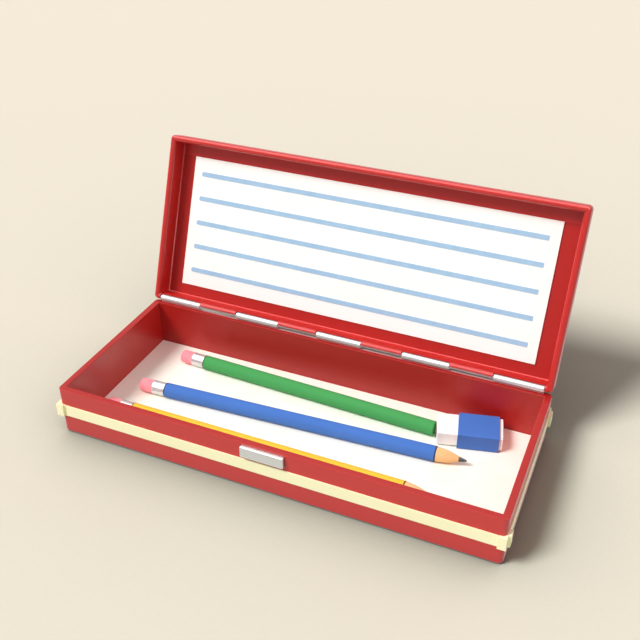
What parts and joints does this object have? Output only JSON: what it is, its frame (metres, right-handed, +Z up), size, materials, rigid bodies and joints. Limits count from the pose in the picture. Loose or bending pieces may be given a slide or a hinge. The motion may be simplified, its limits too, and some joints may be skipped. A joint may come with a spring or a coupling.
{
  "type": "pencil tin",
  "caption": "Long hinged pencil tin standing open: rolled-rim tray with a raised band and a push catch, lid with a ruled label card, loose pencils and a sleeved rubber inside.",
  "frame": {"origin": "middle of the tray's underside, on the surface that the tin stands on", "axes": "+X along the tin to the right seen from the front, +Y from the front with the catch to the hinge, +Z up"},
  "size_m": [0.2082, 0.1219, 0.1038],
  "materials": {
    "tin_red": "glossy stoving enamel on tinplate",
    "band_cream": "satin cream enamel",
    "button_steel": "satin nickel plate",
    "spring_steel": "plain spring steel",
    "magnet": "nickel-plated magnet",
    "hinge_steel": "bright nickel plate",
    "liner_card": "smooth white card",
    "label_card": "smooth white card",
    "rule_ink": "pale blue raised print",
    "pencil_wood": "bare sharpened wood",
    "pencil_lead": "dull graphite",
    "ferrule_tin": "bright drawn metal",
    "pink_rubber": "matt pink rubber",
    "lacquer_blue": "gloss lacquer",
    "lacquer_green": "gloss lacquer",
    "lacquer_yellow": "gloss lacquer",
    "white_rubber": "matt white rubber",
    "sleeve_card": "coated blue card"
  },
  "bodies": {
    "tray": {"tray_shell": "tin_red", "tray_liner": "liner_card", "band_front": "band_cream", "band_back": "band_cream", "band_left": "band_cream", "band_right": "band_cream", "guard_front_left": "band_cream", "guard_front_right": "band_cream", "guard_back_left": "band_cream", "guard_back_right": "band_cream", "tray_hinge_leaf": "hinge_steel", "hinge_pin": "hinge_steel"},
    "latch": {"latch_button": "button_steel", "latch_carrier": "spring_steel", "catch_magnets": "magnet"},
    "lid": {"lid_shell": "tin_red", "lid_hinge_leaf": "hinge_steel", "lid_keeper": "spring_steel", "label_card": "label_card", "label_rules": "rule_ink"},
    "blue_pencil": {"blue_wood": "pencil_wood", "blue_lacquer": "lacquer_blue", "blue_lead": "pencil_lead", "blue_ferrule": "ferrule_tin", "blue_rubber": "pink_rubber"},
    "green_pencil": {"green_wood": "pencil_wood", "green_lacquer": "lacquer_green", "green_lead": "pencil_lead", "green_ferrule": "ferrule_tin", "green_rubber": "pink_rubber"},
    "yellow_pencil": {"yellow_wood": "pencil_wood", "yellow_lacquer": "lacquer_yellow", "yellow_lead": "pencil_lead", "yellow_ferrule": "ferrule_tin", "yellow_rubber": "pink_rubber"},
    "sleeve": {"rubber_sleeve": "sleeve_card"},
    "rubber": {"rubber_block": "white_rubber"}
  },
  "joints": [
    {"name": "lid_hinge", "type": "hinge", "parent": "tray", "child": "lid", "pos_m": [0, 0.04093, 0.0266], "axis": [-1, 0, 0], "range_deg": [-111.44, 0]},
    {"name": "latch_press", "type": "slide", "parent": "tray", "child": "latch", "axis": [0, 1, 0], "range_m": [0, 0.0008], "stiffness_N_per_m": 600, "springref_m": -0.001},
    {"name": "blue_lift", "type": "slide", "parent": "tray", "child": "blue_pencil", "axis": [0, 0, 1], "range_m": [0, 0.05]},
    {"name": "green_lift", "type": "slide", "parent": "tray", "child": "green_pencil", "axis": [0, 0, 1], "range_m": [0, 0.05]},
    {"name": "yellow_lift", "type": "slide", "parent": "tray", "child": "yellow_pencil", "axis": [0, 0, 1], "range_m": [0, 0.05]},
    {"name": "sleeve_lift", "type": "slide", "parent": "tray", "child": "sleeve", "axis": [0, 0, 1], "range_m": [0, 0.05]},
    {"name": "rubber_slide", "type": "slide", "parent": "sleeve", "child": "rubber", "axis": [0.9722, 0.2343, 0], "range_m": [0, 0.009]}
  ]
}
